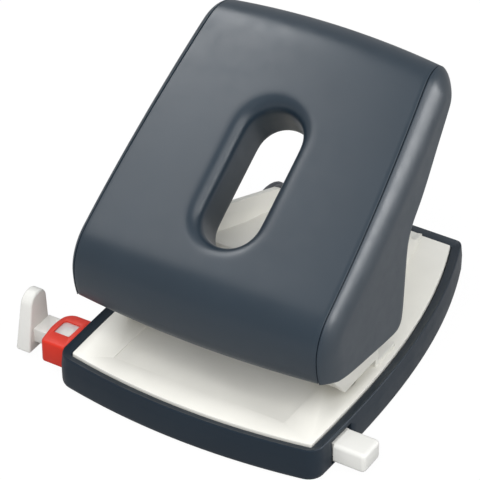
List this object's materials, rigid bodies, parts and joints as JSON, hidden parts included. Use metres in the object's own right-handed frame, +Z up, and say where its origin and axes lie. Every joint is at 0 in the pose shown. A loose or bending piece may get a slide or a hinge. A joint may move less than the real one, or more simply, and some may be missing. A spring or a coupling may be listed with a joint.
{
  "type": "two-hole paper punch",
  "caption": "Desk paper punch with a wide slotted lever handle, a sliding paper guide with an end stop, and a chip tray that opens below.",
  "frame": {"origin": "on the desk plane under the middle of the table", "axes": "+X to the right, +Y to the rear, away from the paper, +Z up; the feet stand on z = 0"},
  "size_m": [0.1423, 0.1415, 0.1164],
  "materials": {
    "base_plastic": "satin moulded plastic",
    "cream_plastic": "satin moulded plastic",
    "screw_steel": "zinc plated",
    "foot_rubber": "matte",
    "bright_steel": "ground",
    "tray_plastic": "satin moulded plastic",
    "die_steel": "hardened and ground",
    "pale_steel": "light grey paint",
    "bush_brass": "turned",
    "clip_steel": "spring steel",
    "red_plastic": "satin moulded plastic",
    "clear_window": "clear plastic",
    "handle_plastic": "satin moulded plastic",
    "cheek_plastic": "satin moulded plastic",
    "white_plastic": "satin moulded plastic",
    "strip_plastic": "printed strip with plain marks",
    "dark_plastic": "satin moulded plastic"
  },
  "bodies": {
    "base": {"base_body": "base_plastic", "table_plate": "cream_plastic", "table_screws": "screw_steel", "rubber_feet": "foot_rubber", "tray_hinge_pins": "bright_steel", "dies": "die_steel", "punch_frame": "pale_steel", "guide_bushes": "bush_brass", "frame_rivets": "bright_steel", "frame_cover": "cream_plastic", "cover_screws": "screw_steel", "pivot_axle": "bright_steel", "axle_clips": "clip_steel", "window_housing": "red_plastic", "window_lens": "clear_window", "rail_spring": "bright_steel"},
    "chip_tray": {"chip_tray": "tray_plastic"},
    "handle": {"lever_frame": "pale_steel", "press_bar": "bright_steel", "handle_panel": "handle_plastic", "cheek_left": "cheek_plastic", "cheek_right": "cheek_plastic", "panel_screws": "screw_steel", "cheek_screws": "screw_steel"},
    "pin_left": {"punch_pin_left": "die_steel", "pin_collar_left": "clip_steel", "pin_spring_left": "bright_steel"},
    "pin_right": {"punch_pin_right": "die_steel", "pin_collar_right": "clip_steel", "pin_spring_right": "bright_steel"},
    "guide": {"guide_rail": "white_plastic", "scale_strip": "strip_plastic", "end_stop": "white_plastic", "rail_end_cap": "white_plastic"},
    "lock": {"lock_slider": "dark_plastic"}
  },
  "joints": [
    {"name": "handle_hinge", "type": "hinge", "parent": "base", "child": "handle", "pos_m": [0, -0.04975, 0.0425], "axis": [-1, 0, 0], "range_deg": [0, 16.5], "stiffness_Nm_per_rad": 1, "springref_deg": -28.65},
    {"name": "pin_left_slide", "type": "slide", "parent": "base", "child": "pin_left", "axis": [0, 0, -1], "range_m": [0, 0.0066], "deforming": ["pin_spring_left"]},
    {"name": "pin_right_slide", "type": "slide", "parent": "base", "child": "pin_right", "axis": [0, 0, -1], "range_m": [0, 0.0066], "deforming": ["pin_spring_right"]},
    {"name": "rail_slide", "type": "slide", "parent": "base", "child": "guide", "axis": [-1, 0, 0], "range_m": [0, 0.0772]},
    {"name": "tray_hinge", "type": "hinge", "parent": "base", "child": "chip_tray", "pos_m": [0, 0.06275, 0.0026], "axis": [1, 0, 0], "range_deg": [0, 75]},
    {"name": "lock_slide", "type": "slide", "parent": "base", "child": "lock", "axis": [0.2199, 0.9755, 0], "range_m": [0, 0.006]}
  ],
  "couplings": [
    {"joint": "pin_left_slide", "follows": "handle_hinge", "m_per_rad": 0.0226},
    {"joint": "pin_right_slide", "follows": "handle_hinge", "m_per_rad": 0.0226}
  ]
}
